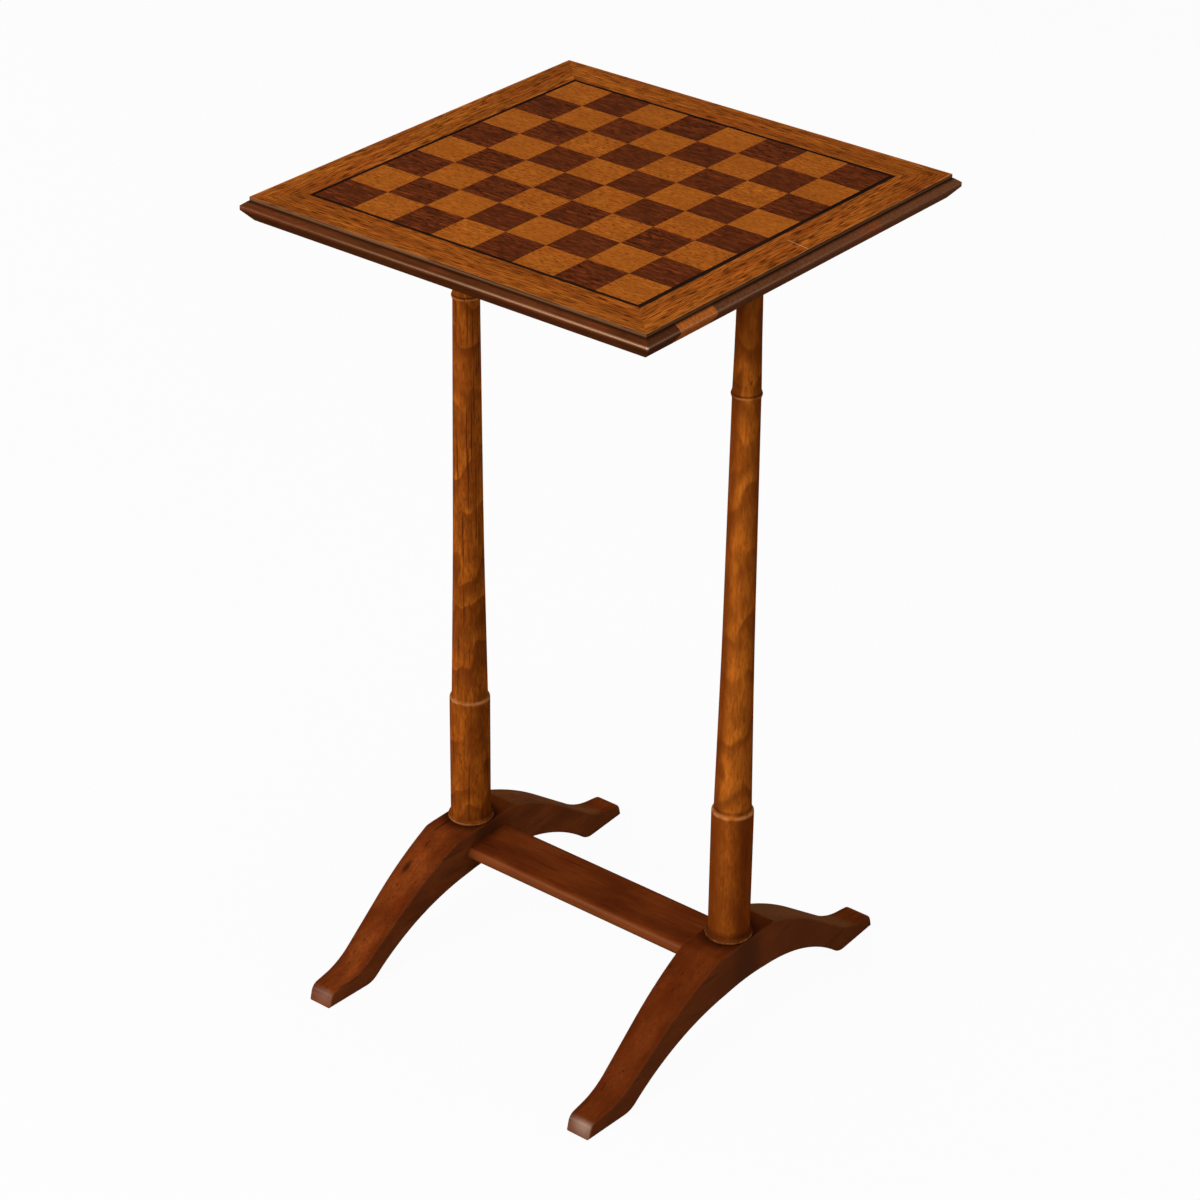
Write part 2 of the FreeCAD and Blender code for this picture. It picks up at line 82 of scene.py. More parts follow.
# how noise becomes tone, roughness and relief on every piece of wood
grainLook = dict(
    detail=3.0, breakUp=0.6, toneRange=(0.3, 0.7), redRange=(0.45, 0.7), fibreRange=(0.32, 0.68),
    fibreRoughness=0.08, poreRoughness=0.15, fibreHeight=0.5, relief=0.0002,
)


class Finish:
    # one material: a Principled shader and the nodes that feed it, in Object coordinates
    def __init__(self, name, constants):
        self.material = bpy.data.materials.new(name)
        self.material.use_nodes = True
        self.tree = self.material.node_tree
        self.tree.nodes.clear()
        self.surface = self.add("ShaderNodeBsdfPrincipled", {}, constants)
        self.shader = self.surface.socket.node
        self.output = self.tree.nodes.new("ShaderNodeOutputMaterial")
        self.feed(self.output, {"Surface": self.surface})
        self.place = self.add("ShaderNodeTexCoord", {}, {}, "Object")
        self.x, self.y, self.z = self.split(self.place)

    def add(self, kind, settings, sockets, output=0):
        node = self.tree.nodes.new(kind)
        for key, value in settings.items():
            setattr(node, key, value)
        self.feed(node, sockets)
        return Shade(self, node.outputs[output])

    def feed(self, node, sockets):
        for key, value in sockets.items():
            if isinstance(value, Shade):
                self.tree.links.new(value.socket, node.inputs[key])
            else:
                node.inputs[key].default_value = value

    def split(self, vector):
        separated = self.add("ShaderNodeSeparateXYZ", {}, {"Vector": vector})
        return [Shade(self, socket) for socket in separated.socket.node.outputs]

    def join(self, x, y, z):
        return self.add("ShaderNodeCombineXYZ", {}, {"X": x, "Y": y, "Z": z})

    def normal(self):
        return self.split(self.add("ShaderNodeNewGeometry", {}, {}, "Normal"))

    def length(self, *steps):  # root of the sum of squares
        return sum(step * step for step in steps) ** 0.5

    def facing(self, middle, turn):  # distance from an upright line at x = middle, along a turn in degrees
        turn = math.radians(turn)
        return (self.x - middle) * math.cos(turn) + self.y * math.sin(turn)

    def grain(self, axis, size, shift, detail=1.0, roughness=0.5):
        # noise in cells of (length along the grain, width across it)
        scale = [1 / size[1]] * 3
        scale[axis] = 1 / size[0]
        sockets = {"Vector": self.place, "Location": shift, "Scale": scale}
        cells = self.add("ShaderNodeMapping", {"vector_type": "POINT"}, sockets)
        sockets = {"Vector": cells, "Scale": 1.0, "Detail": detail, "Roughness": roughness}
        return self.add("ShaderNodeTexNoise", {"noise_dimensions": "3D"}, sockets)

    def smooth(self, value, low, high):  # 0 at low, 1 at high, eased
        sockets = {"Value": value, "From Min": low, "From Max": high}
        return self.add("ShaderNodeMapRange", {"interpolation_type": "SMOOTHSTEP"}, sockets)

    def band(self, value, middle, reach):  # 1 at the middle, 0 beyond the reach
        return self.smooth(abs(value - middle), reach, 0.0)

    def belt(self, level, rise, reach):  # a band of height, a little above or below a level
        return self.band(self.z, level + rise, reach)

    def blend(self, share, first, second):
        return self.add("ShaderNodeMix", {"data_type": "RGBA"}, {0: share, 6: first, 7: second}, 2)

    def spot(self, place, size, core=0.2):  # 1 in the core of an ellipsoid of these half sizes, 0 outside it
        axes = zip((self.x, self.y, self.z), place, size)
        steps = [(value - middle) / half for value, middle, half in axes]
        return self.smooth(self.length(*steps), 1.0, core)

    def line(self, start, end, reach):  # 1 on a straight mark seen in plan, 0 beyond the reach
        run = Vector(end) - Vector(start)
        share = ((self.x - start[0]) * run.x + (self.y - start[1]) * run.y) / run.length_squared
        share = share.larger(0.0).smaller(1.0)
        offX = self.x - start[0] - share * run.x
        offY = self.y - start[1] - share * run.y
        return self.smooth(self.length(offX, offY), reach, 0.0)

    def wood(self, look, axis, shift):
        # slow tone from deep to pale, redder patches, fine fibres and short dark pores, long with the grain
        detail = grainLook["detail"]
        breakUp = grainLook["breakUp"]
        tone = self.grain(axis, look["toneCell"], shift, detail)
        redness = self.grain(axis, look["redCell"], shift, detail, breakUp)
        fibre = self.grain(axis, look["fibreCell"], shift, detail, breakUp)
        pores = self.grain(axis, look["poreCell"], shift)
        reddened = self.smooth(redness, *grainLook["redRange"])
        self.fibre = self.smooth(fibre, *grainLook["fibreRange"])
        self.pores = self.smooth(pores, *look["poreRange"])
        colour = self.blend(self.smooth(tone, *grainLook["toneRange"]), look["deep"], look["pale"])
        colour = self.blend(reddened * look["redDepth"], colour, look["red"])
        colour = self.blend(self.fibre * look["fibreDepth"], colour, look["streak"])
        return self.blend(self.pores * look["poreDepth"], colour, look["pore"])

    def close(self, look, colour, coat=0.0, bareness=None):
        # fibres and pores are rougher than the wood between them, and so is wood without polish
        roughness = look["roughness"] + self.fibre * grainLook["fibreRoughness"]
        roughness = roughness + self.pores * grainLook["poreRoughness"]
        if bareness is not None:
            roughness = roughness + bareness
        height = self.fibre * grainLook["fibreHeight"] - self.pores
        sockets = {"Height": height, "Strength": look["bump"], "Distance": grainLook["relief"]}
        bump = self.add("ShaderNodeBump", {}, sockets)
        sockets = {"Base Color": colour, "Roughness": roughness, "Normal": bump, "Coat Weight": coat}
        self.feed(self.shader, sockets)
        return self

    def lay(self, *names):
        for name in names:
            nodes[name].data.materials.clear()
            nodes[name].data.materials.append(self.material)


alongX, alongY, alongZ = 0, 1, 2
# the shader's shine is all in the coat, while painted highlights sit in the colour: a thin film on faces that
# look up, more where a piece is rubbed
oldPolish = {"Specular IOR Level": 0.0, "Coat Roughness": 0.22, "Coat IOR": 1.5}
filmWeight = 0.15

boardLook = dict(
    square=0.038, crossStep=0.37, lotDepth=0.4,  # a square's side, and how its veneer shifts and darkens
    light=dict(
        pale=paint(176, 99, 29), deep=paint(152, 82, 22), red=paint(168, 78, 22), streak=paint(126, 64, 15),
        pore=paint(92, 44, 10), toneCell=(0.060, 0.016), redCell=(0.012, 0.005), fibreCell=(0.008, 0.0017),
        poreCell=(0.0042, 0.0015), redDepth=0.6, fibreDepth=0.9, poreDepth=0.8, poreRange=(0.54, 0.68),
        roughness=0.44, bump=0.10, shift=(0.0, 3.0, 1.0),
    ),
    dark=dict(
        pale=paint(106, 48, 18), deep=paint(80, 35, 12), red=paint(138, 60, 20), streak=paint(56, 23, 8),
        pore=paint(36, 14, 6), toneCell=(0.050, 0.012), redCell=(0.014, 0.0036), fibreCell=(0.012, 0.0016),
        poreCell=(0.0050, 0.0014), redDepth=0.9, fibreDepth=0.9, poreDepth=0.75, poreRange=(0.54, 0.68),
        roughness=0.44, bump=0.10, shift=(5.0, 0.0, 2.0),
    ),
    spots=(
        dict(place=(-0.0259, -0.0646, 0.702), size=(0.0030, 0.0022, 0.01)),
        dict(place=(0.1309, -0.0584, 0.702), size=(0.0020, 0.0016, 0.01)),
    ),
    spotTone=paint(84, 40, 14), spotDepth=0.7,
)


def squareFinish(name, look, spots=()):
    finish = Finish(name, oldPolish)
    column = (finish.x / boardLook["square"]).floor()
    row = (finish.y / boardLook["square"]).floor()
    lot = finish.join(column, row, look["shift"][2])
    chance = finish.add("ShaderNodeTexWhiteNoise", {"noise_dimensions": "3D"}, {"Vector": lot})
    # each square is cut from another stretch of veneer
    finish.place = finish.join(finish.x + chance, finish.y + chance * boardLook["crossStep"], finish.z)
    colour = finish.wood(look, alongX, look["shift"])
    colour = finish.blend(chance * boardLook["lotDepth"], colour, look["deep"])
    for spot in spots:
        colour = finish.blend(finish.spot(**spot) * boardLook["spotDepth"], colour, boardLook["spotTone"])
    return finish.close(look, colour, filmWeight * (1.0 - finish.pores))


squareFinish("light_square_veneer", boardLook["light"], boardLook["spots"]).lay("light_squares")
squareFinish("dark_square_veneer", boardLook["dark"]).lay("dark_squares")
print("board squares veneered")

borderLook = dict(
    pale=paint(184, 103, 30), deep=paint(144, 74, 19), red=paint(172, 72, 21), streak=paint(100, 47, 11),
    pore=paint(56, 24, 6), toneCell=(0.10, 0.010), redCell=(0.040, 0.0040), fibreCell=(0.040, 0.0011),
    poreCell=(0.015, 0.00075), redDepth=0.5, fibreDepth=0.7, poreDepth=0.85, poreRange=(0.50, 0.60),
    roughness=0.44, bump=0.18,
    strips=dict(
        front=dict(axis=alongX, shift=(1.0, 4.0, 0.0)), right=dict(axis=alongY, shift=(2.0, 1.0, 0.0)),
        back=dict(axis=alongX, shift=(7.0, 2.0, 0.0)), left=dict(axis=alongY, shift=(3.0, 9.0, 0.0)),
    ),
    # arris: a pale line of wear and a painted highlight
    edge=0.186, innerEdge=0.155, arris=paint(184, 108, 58), arrisWidth=0.0011, arrisDepth=0.6,
    # the wall's grey is a painted sheen
    wallSheen=paint(116, 79, 50), wallRange=(0.7, 0.3),
    dirtAndShade=paint(72, 49, 31), dirtCell=(0.030, 0.012), dirtRange=(0.36, 0.56),
    ink=paint(34, 20, 13), inkReach=0.0016, inkSolid=0.0008,
    scratchDepth=0.6, scratchTone=paint(196, 160, 120),
    scratch=dict(start=(0.1650, 0.0055), end=(0.1849, 0.0022), reach=0.0007),
)


def borderFinish(side, axis, shift):
    look = borderLook
    finish = Finish("border_veneer_" + side, oldPolish)
    colour = finish.wood(look, axis, shift)
    outward = abs(finish.x).larger(abs(finish.y))
    # the outer arris is painted paler: wear and a painted highlight
    wornAndHighlit = finish.smooth(outward, look["edge"] - look["arrisWidth"], look["edge"])
    colour = finish.blend(wornAndHighlit * look["arrisDepth"], colour, look["arris"])
    # the upright edge of the veneer, greyed by a painted sheen, and darker with dirt in places
    dirty = finish.smooth(finish.grain(axis, look["dirtCell"], shift, detail=2.0), *look["dirtRange"])
    upright = finish.smooth(finish.normal()[2], *look["wallRange"])
    colour = finish.blend(upright, colour, finish.blend(dirty, look["wallSheen"], look["dirtAndShade"]))
    if side == "right":  # black stain ran out of the stringing, and a scratch crosses the strip
        innerEdge = look["innerEdge"]
        ran = finish.smooth(outward, innerEdge + look["inkReach"], innerEdge + look["inkSolid"])
        colour = finish.blend(ran, colour, look["ink"])
        scratched = finish.line(**look["scratch"]) * look["scratchDepth"]
        colour = finish.blend(scratched, colour, look["scratchTone"])
    return finish.close(look, colour, filmWeight * (1.0 - finish.pores) * (1.0 - upright))


stringingLook = dict(
    pale=paint(40, 25, 17), deep=paint(24, 15, 11), red=paint(46, 24, 14), streak=paint(18, 11, 8),
    pore=paint(14, 9, 7), toneCell=(0.05, 0.004), redCell=(0.03, 0.003), fibreCell=(0.010, 0.0010),
    poreCell=(0.006, 0.0009), redDepth=0.4, fibreDepth=0.4, poreDepth=0.4, poreRange=(0.58, 0.72),
    roughness=0.45, bump=0.10, shift=(0.0, 0.0, 0.0),
)
for side, strip in borderLook["strips"].items():
    borderFinish(side, **strip).lay("border_" + side)
    inlay = Finish("stringing_" + side, oldPolish)
    inlay.close(stringingLook, inlay.wood(stringingLook, strip["axis"], stringingLook["shift"]))
    inlay.lay("stringing_" + side)
print("border and stringing veneered")

staveLook = dict(
    pale=paint(90, 47, 23), deep=paint(70, 36, 16), red=paint(102, 47, 24), streak=paint(58, 27, 11),
    pore=paint(42, 19, 8), toneCell=(0.12, 0.014), redCell=(0.028, 0.006), fibreCell=(0.030, 0.0014),
    poreCell=(0.010, 0.0010), redDepth=0.8, fibreDepth=0.5, poreDepth=0.5, poreRange=(0.58, 0.72),
    roughness=0.38, bump=0.10, shiftStep=(3.7, 1.9),
    # end grain, back to front
    endTones=(
        paint(112, 68, 42), paint(110, 66, 42), paint(104, 62, 38), paint(180, 98, 40), paint(84, 46, 27),
    ),
    endRange=(0.15, 0.3), speckCell=(0.02, 0.0014), speckRange=(0.35, 0.7), speckDepth=0.4,
    patch=dict(stave=2, fade=(0.040, 0.086), tone=paint(130, 68, 38)),
    # wall and quirk below the veneer: a painted sheen on the wall, dirt and painted shade in the quirk,
    # painted shade on the undercut
    wallSheen=paint(108, 73, 46), quirkLevel=0.6986, quirkEdge=0.1860, wallFrom=0.0002, wallTo=0.0008,
    grimeAndShade=paint(30, 14, 7), grimeShadeDepth=0.7, grimeShadeWidth=0.0030, grimeShadeCore=0.0006, grimeShadeRise=(0.0020, 0.0003),
    bellyShade=paint(46, 20, 6), bellyShadeRange=(0.1, -0.6), bellyShadeDepth=0.3,
    # nose: shine, wear and a painted highlight
    noseFrom=(0.28, 0.45), noseTo=(0.78, 0.6), noseDrop=0.001, endwise=(0.3, 0.8), endDull=0.6, endWhole=0.7,
    cornerRange=(0.05, 0.37), coat=0.7, farCoat=0.3,
    wornAndHighlit=paint(170, 124, 88), wearHighlightCell=(0.09, 0.03), wearHighlightRange=(0.2, 0.6), wearHighlightLevel=0.6947, wearHighlightReach=0.0013,
    wearHighlightDepth=0.1, cornerWearHighlight=0.5,
    tip=dict(place=(0.1909, -0.1909, 0.6944), size=(0.0015, 0.0015, 0.0013)),
    tipStave=5, tipHighlight=paint(232, 208, 182), tipHighlightDepth=0.8,
    bare=paint(150, 112, 74), bareRange=(-0.9, -0.98), bareDepth=0.8, bareRoughness=0.3,
)


def staveFinish(number):
    look = staveLook
    shift = (number * look["shiftStep"][0], number * look["shiftStep"][1], 0.0)
    finish = Finish(f"top_stave_wood_{number}", oldPolish)
    colour = finish.wood(look, alongX, shift)
    normalX, _, normalZ = finish.normal()
    # end grain: fine specks in the stave's own brown
    endTone = look["endTones"][number - 1]
    if number == look["patch"]["stave"]:
        fading = finish.smooth(finish.y, *look["patch"]["fade"])
        endTone = finish.blend(fading, endTone, look["patch"]["tone"])
    speck = finish.smooth(finish.grain(alongX, look["speckCell"], shift, detail=2.0), *look["speckRange"])
    endTone = finish.blend(speck * look["speckDepth"], endTone, look["pore"])
    colour = finish.blend(finish.smooth(abs(normalX), *look["endRange"]), colour, endTone)
    # small upright wall below the veneer, greyed by a painted sheen, and old dirt and painted shade along its
    # foot
    quirkLevel = look["quirkLevel"]
    quirkEdge = look["quirkEdge"]
    wallSheen = finish.smooth(finish.z, quirkLevel + look["wallFrom"], quirkLevel + look["wallTo"])
    colour = finish.blend(wallSheen, colour, look["wallSheen"])
    outward = abs(finish.x).larger(abs(finish.y))
    dirtAndShade = finish.smooth(outward, quirkEdge + look["grimeShadeWidth"], quirkEdge + look["grimeShadeCore"])
    dirtAndShade = dirtAndShade * finish.smooth(abs(finish.z - quirkLevel), *look["grimeShadeRise"])
    colour = finish.blend(dirtAndShade * look["grimeShadeDepth"], colour, look["grimeAndShade"])
    # painted shade: the undercut, which faces down, is darker
    undercutShade = finish.smooth(normalZ, *look["bellyShadeRange"])
    colour = finish.blend(undercutShade * look["bellyShadeDepth"], colour, look["bellyShade"])
    # the rounded nose is rubbed to a shine where it turns over, less on end grain
    endwise = finish.smooth(abs(normalX), *look["endwise"])
    rubbedAndHighlit = finish.smooth(normalZ, *look["noseFrom"]) * finish.smooth(normalZ, *look["noseTo"])
    rubbedAndHighlit = rubbedAndHighlit * finish.smooth(finish.z, quirkLevel, quirkLevel - look["noseDrop"])
    rubbedAndHighlit = rubbedAndHighlit * (1.0 - endwise * look["endDull"])
    # and it is painted paler, as wear and a painted highlight, most near the front right corner
    towardsCorner = finish.smooth(finish.x - finish.y, *look["cornerRange"])
    patches = finish.smooth(finish.grain(alongX, look["wearHighlightCell"], shift, detail=2.0), *look["wearHighlightRange"])
    wearAndHighlight = patches * look["wearHighlightDepth"] + towardsCorner * look["cornerWearHighlight"]
    wearAndHighlight = wearAndHighlight * finish.band(finish.z, look["wearHighlightLevel"], look["wearHighlightReach"])
    colour = finish.blend(wearAndHighlight * (1.0 - endwise * look["endWhole"]), colour, look["wornAndHighlit"])
    # a painted highlight on the tip of the front right corner
    if number == look["tipStave"]:
        colour = finish.blend(finish.spot(**look["tip"]) * look["tipHighlightDepth"], colour, look["tipHighlight"])
    # the underside is bare
    below = finish.smooth(normalZ, *look["bareRange"])
    colour = finish.blend(below * look["bareDepth"], colour, look["bare"])
    coat = (look["farCoat"] + towardsCorner * (1 - look["farCoat"])) * look["coat"]
    return finish.close(look, colour, rubbedAndHighlit * coat, below * look["bareRoughness"])


for number in range(1, len(staveLook["endTones"]) + 1):
    staveFinish(number).lay(f"top_stave_{number}")
print("top staves stained")

battenLook = dict(
    pale=paint(134, 90, 52), deep=paint(104, 66, 36), red=paint(126, 74, 40), streak=paint(84, 50, 26),
    pore=paint(60, 34, 18), toneCell=(0.10, 0.014), redCell=(0.05, 0.006), fibreCell=(0.030, 0.0013),
    poreCell=(0.010, 0.0010), redDepth=0.4, fibreDepth=0.5, poreDepth=0.5, poreRange=(0.58, 0.72),
    roughness=0.6, bump=0.16, shifts=dict(batten_left=(1.0, 2.0, 3.0), batten_right=(4.0, 8.0, 5.0)),
)
for name, shift in battenLook["shifts"].items():
    batten = Finish(name + "_wood", oldPolish)
    batten.close(battenLook, batten.wood(battenLook, alongY, shift))
    batten.lay(name)

screwLook = dict(
    bright=paint(150, 146, 138), dull=paint(92, 84, 74), cell=(0.0015, 0.0015), detail=4.0,
    dullRange=(0.35, 0.65), roughness=0.38, dullRoughness=0.2, shift=(0.0, 0.0, 0.0),
)
screws = Finish("screw_steel", {"Metallic": 1.0})
dulled = screws.grain(alongX, screwLook["cell"], screwLook["shift"], screwLook["detail"])
dulled = screws.smooth(dulled, *screwLook["dullRange"])
screws.feed(screws.shader, {
    "Base Color": screws.blend(dulled, screwLook["bright"], screwLook["dull"]),
    "Roughness": screwLook["roughness"] + dulled * screwLook["dullRoughness"],
})
screws.lay("batten_screws")
print("battens and screws done")

# turns are in degrees from +X towards +Y, seen from above
pillarLook = dict(
    pale=paint(178, 95, 25), deep=paint(126, 61, 15), red=paint(138, 58, 14), streak=paint(94, 42, 10),
    pore=paint(58, 25, 7), toneCell=(0.034, 0.010), redCell=(0.018, 0.007), fibreCell=(0.010, 0.0022),
    poreCell=(0.006, 0.0013), redDepth=0.6, fibreDepth=0.45, poreDepth=0.4, poreRange=(0.57, 0.70),
    roughness=0.42, bump=0.10,
    flangeTop=0.093, stepLevel=0.2092, ringLevel=0.5733, stepBlend=0.002,
    # painted shade on a dark edge and a red side, painted light on a pale side
    shadedEdgeRange=(0.003, 0.012), redShade=paint(88, 32, 8), shadeTurn=38.0, shadeSideRange=(0.002, 0.013),
    barrelShadeSideRange=(-0.002, 0.010), litSide=paint(206, 113, 33), litRange=(0.006, 0.0125),
    barrelLitLoss=0.8, paleFibre=0.4, palePores=0.25, topFrom=0.02, topTo=0.09,
    # flames and long dark lines
    flame=paint(98, 43, 11), ringSpacing=0.050, slant=0.8, wobble=0.12, wobbleCell=(0.042, 0.022),
    flameCell=(0.07, 0.022), flameRange=(0.25, 0.5),
    darkLine=paint(44, 18, 6), lineCell=(0.100, 0.0016), lineRange=(0.63, 0.71),
    # dirt, painted shade and worn rims with a painted highlight, as (rise above the level, reach)
    grimeAndShade=paint(44, 20, 8), grimeShadeDepth=0.7, fleckCell=(0.0045, 0.0012), fleckRange=(0.48, 0.66),
    fleckBelt=(0.013, 0.013), coveBelt=(0.0016, 0.0011), flangeFrom=0.0018, flangeTo=0.003,
    stepBelt=(0.0030, 0.0026), footBelt=(0.0010, 0.0090),
    rimWearAndHighlight=paint(202, 136, 80), rimDepth=0.5, coat=0.1, rubCell=(0.008, 0.008), rubRange=(0.25, 0.6),
    stepRim=(-0.0007, 0.0024), ringRim=(-0.0002, 0.0010), flangeRim=(-0.0010, 0.0013), flangeRub=0.7,
    left=dict(
        middle=-0.137, shift=(2.0, 5.0, 1.0), shadedEdgeTurn=30.0, shadedEdgeDepth=0.0, shadeSide=0.0, barrelShadeSide=0.0,
        litTurn=-50.0, litDepth=0.2, topShade=0.0, barrelShade=0.1, slantTurn=38.0, flameDepth=0.7,
        flameEdge=0.93, barrelFlame=1.0, lineDepth=0.7, fleckDepth=0.0, stepDarkening=0.0, footDirtAndShade=0.3,
    ),
    right=dict(
        middle=0.137, shift=(6.0, 1.0, 4.0), shadedEdgeTurn=-140.0, shadedEdgeDepth=0.7, shadeSide=0.45, barrelShadeSide=0.65,
        litTurn=-42.0, litDepth=0.7, topShade=0.5, barrelShade=0.25, slantTurn=30.0, flameDepth=0.6,
        flameEdge=0.8, barrelFlame=0.4, lineDepth=0.2, fleckDepth=0.55, stepDarkening=0.45, footDirtAndShade=0.6,
    ),
)


def pillarFinish(name, own):
    look = pillarLook
    shift = own["shift"]
    flangeTop = look["flangeTop"]
    stepLevel = look["stepLevel"]
    ringLevel = look["ringLevel"]
    finish = Finish(name + "_wood", oldPolish)
    colour = finish.wood(look, alongZ, shift)
    # painted shade darkens one edge of the turned wood, and painted light makes another side paler
    dark = finish.smooth(finish.facing(own["middle"], own["shadedEdgeTurn"]), *look["shadedEdgeRange"])
    colour = finish.blend(dark * own["shadedEdgeDepth"], colour, look["flame"])
    barrel = finish.smooth(finish.z, stepLevel, stepLevel - look["stepBlend"])
    pale = finish.smooth(finish.facing(own["middle"], own["litTurn"]), *look["litRange"])
    pale = pale * (1.0 - barrel * look["barrelLitLoss"])
    colour = finish.blend(pale * own["litDepth"], colour, look["litSide"])
    colour = finish.blend(finish.fibre * pale * look["paleFibre"], colour, look["streak"])
    colour = finish.blend(finish.pores * pale * look["palePores"], colour, look["pore"])
    # painted shadow darkens the top end under the table top; the barrel is darker and redder
    topEnd = finish.smooth(finish.z, ringLevel + look["topFrom"], ringLevel + look["topTo"])
    colour = finish.blend(topEnd * own["topShade"], colour, look["flame"])
    colour = finish.blend(barrel * own["barrelShade"], colour, look["redShade"])
    # growth rings cut at a slant: a saw-tooth of height, each flame darkening upwards to a sharp end
    wobble = finish.grain(alongZ, look["wobbleCell"], shift)
    slanted = finish.z - finish.facing(own["middle"], own["slantTurn"]) * look["slant"]
    ring = ((slanted + wobble * look["wobble"]) / look["ringSpacing"]).fraction()
    flame = finish.smooth(ring, 0.0, own["flameEdge"]) * finish.smooth(ring, 1.0, own["flameEdge"])
    flaming = finish.smooth(finish.grain(alongZ, look["flameCell"], shift), *look["flameRange"])
    flaming = flaming * (1.0 - barrel * (1.0 - own["barrelFlame"]))
    colour = finish.blend(flame * flaming * own["flameDepth"], colour, look["flame"])
    # painted shade: the side away from the lamps is darker and redder, further round on the barrel
    shadeFacing = finish.facing(own["middle"], look["shadeTurn"])
    shadeSide = finish.smooth(shadeFacing, *look["shadeSideRange"]) * own["shadeSide"]
    barrelShadeSide = finish.smooth(shadeFacing, *look["barrelShadeSideRange"]) * barrel * own["barrelShadeSide"]
    colour = finish.blend(shadeSide.larger(barrelShadeSide), colour, look["redShade"])
    # a few long dark lines
    lines = finish.smooth(finish.grain(alongZ, look["lineCell"], shift), *look["lineRange"])
    colour = finish.blend(lines * own["lineDepth"], colour, look["darkLine"])
    # dirt flecks above the ring, painted shade in its cove and under the flange, darker above the step, and
    # dirt and painted shade round the foot
    flecks = finish.smooth(finish.grain(alongZ, look["fleckCell"], shift), *look["fleckRange"])
    flecks = flecks * finish.belt(ringLevel, *look["fleckBelt"])
    colour = finish.blend(flecks * own["fleckDepth"], colour, look["grimeAndShade"])
    underFlange = finish.smooth(finish.z, flangeTop - look["flangeFrom"], flangeTop - look["flangeTo"])
    dirtAndShade = finish.belt(ringLevel, *look["coveBelt"]).larger(underFlange)
    colour = finish.blend(dirtAndShade * look["grimeShadeDepth"], colour, look["grimeAndShade"])
    colour = finish.blend(finish.belt(stepLevel, *look["stepBelt"]) * own["stepDarkening"], colour, look["grimeAndShade"])
    colour = finish.blend(finish.belt(flangeTop, *look["footBelt"]) * own["footDirtAndShade"], colour, look["grimeAndShade"])
    # rims worn pale and shiny, with a painted highlight
    rubbedAndHighlit = finish.belt(stepLevel, *look["stepRim"]).larger(finish.belt(ringLevel, *look["ringRim"]))
    rubbedAndHighlit = rubbedAndHighlit.larger(finish.belt(flangeTop, *look["flangeRim"]) * look["flangeRub"])
    patches = finish.smooth(finish.grain(alongZ, look["rubCell"], shift, detail=2.0), *look["rubRange"])
    rubbedAndHighlit = rubbedAndHighlit * patches
    colour = finish.blend(rubbedAndHighlit * look["rimDepth"], colour, look["rimWearAndHighlight"])
    return finish.close(look, colour, rubbedAndHighlit * look["coat"])


for side in ("left", "right"):
    pillarFinish("pillar_" + side, pillarLook[side]).lay("pillar_" + side)
print("pillars stained")

baseLook = dict(
    pale=paint(135, 65, 24), deep=paint(96, 42, 13), red=paint(118, 44, 12), streak=paint(76, 30, 8),
    pore=paint(56, 23, 7), toneCell=(0.050, 0.020), redCell=(0.022, 0.012), fibreCell=(0.040, 0.0020),
    poreCell=(0.009, 0.0012), redDepth=0.5, fibreDepth=0.35, poreDepth=0.4, poreRange=(0.60, 0.74),
    roughness=0.42, bump=0.08,
    # a pale tone for rounded edges: wear and a painted highlight
    shadeTone=paint(72, 26, 6), wornAndHighlit=paint(150, 84, 42), filmRange=(0.5, 0.9),
    darkLine=paint(44, 18, 7), lineCell=(0.11, 0.0034), lineRange=(0.67, 0.74), lineDepth=0.6,
)


def baseFinish(name, axis, own):
    look = baseLook
    finish = Finish(name + "_wood", oldPolish)
    colour = finish.blend(own["shade"], finish.wood(look, axis, own["shift"]), look["shadeTone"])
    lines = finish.smooth(finish.grain(axis, look["lineCell"], own["shift"]), *look["lineRange"])
    return finish, finish.blend(lines * look["lineDepth"], colour, look["darkLine"])


footLook = dict(
    length=0.385, blockEnd=0.027, blockHalf=0.0196, toeHalf=0.0113, flangeRadius=0.0193,
    grimeAndShade=paint(40, 17, 7), grimeShadeReach=0.012, grimeShadeDepth=0.8,
    sideRange=(0.4, 1.0), upperRange=(0.3, 0.6), sideDepth=0.45,
    edgeFrom=(0.1, 0.5), edgeTo=(0.97, 0.8), edgeDepth=0.12,
    flankSheen=paint(104, 58, 34), flankRange=(0.8, 0.95), flankDepth=0.4,
    dustAndSheen=paint(130, 90, 52), dustSheenSlope=(0.12, 0.4), dustSheenUp=(0.4, 0.7), dustSheenDepth=0.3,
    toeRounding=0.012, toeRange=(0.2, 0.8), toeDepth=0.1,
    glowAside=0.004, glowLevel=0.013, glowReach=0.016, glowDepth=0.55,
    film=0.01, toeCoat=0.2,
    knot=dict(place=(-0.144, -0.076, 0.073), size=(0.0045, 0.0120, 0.010)), knotDepth=0.8,
    foot_left=dict(middle=-0.137, shift=(3.0, 1.0, 7.0), shade=0.0, toeHighlight=paint(112, 94, 84)),
    foot_right=dict(middle=0.137, shift=(8.0, 6.0, 2.0), shade=0.5, toeHighlight=paint(180, 152, 130)),
)


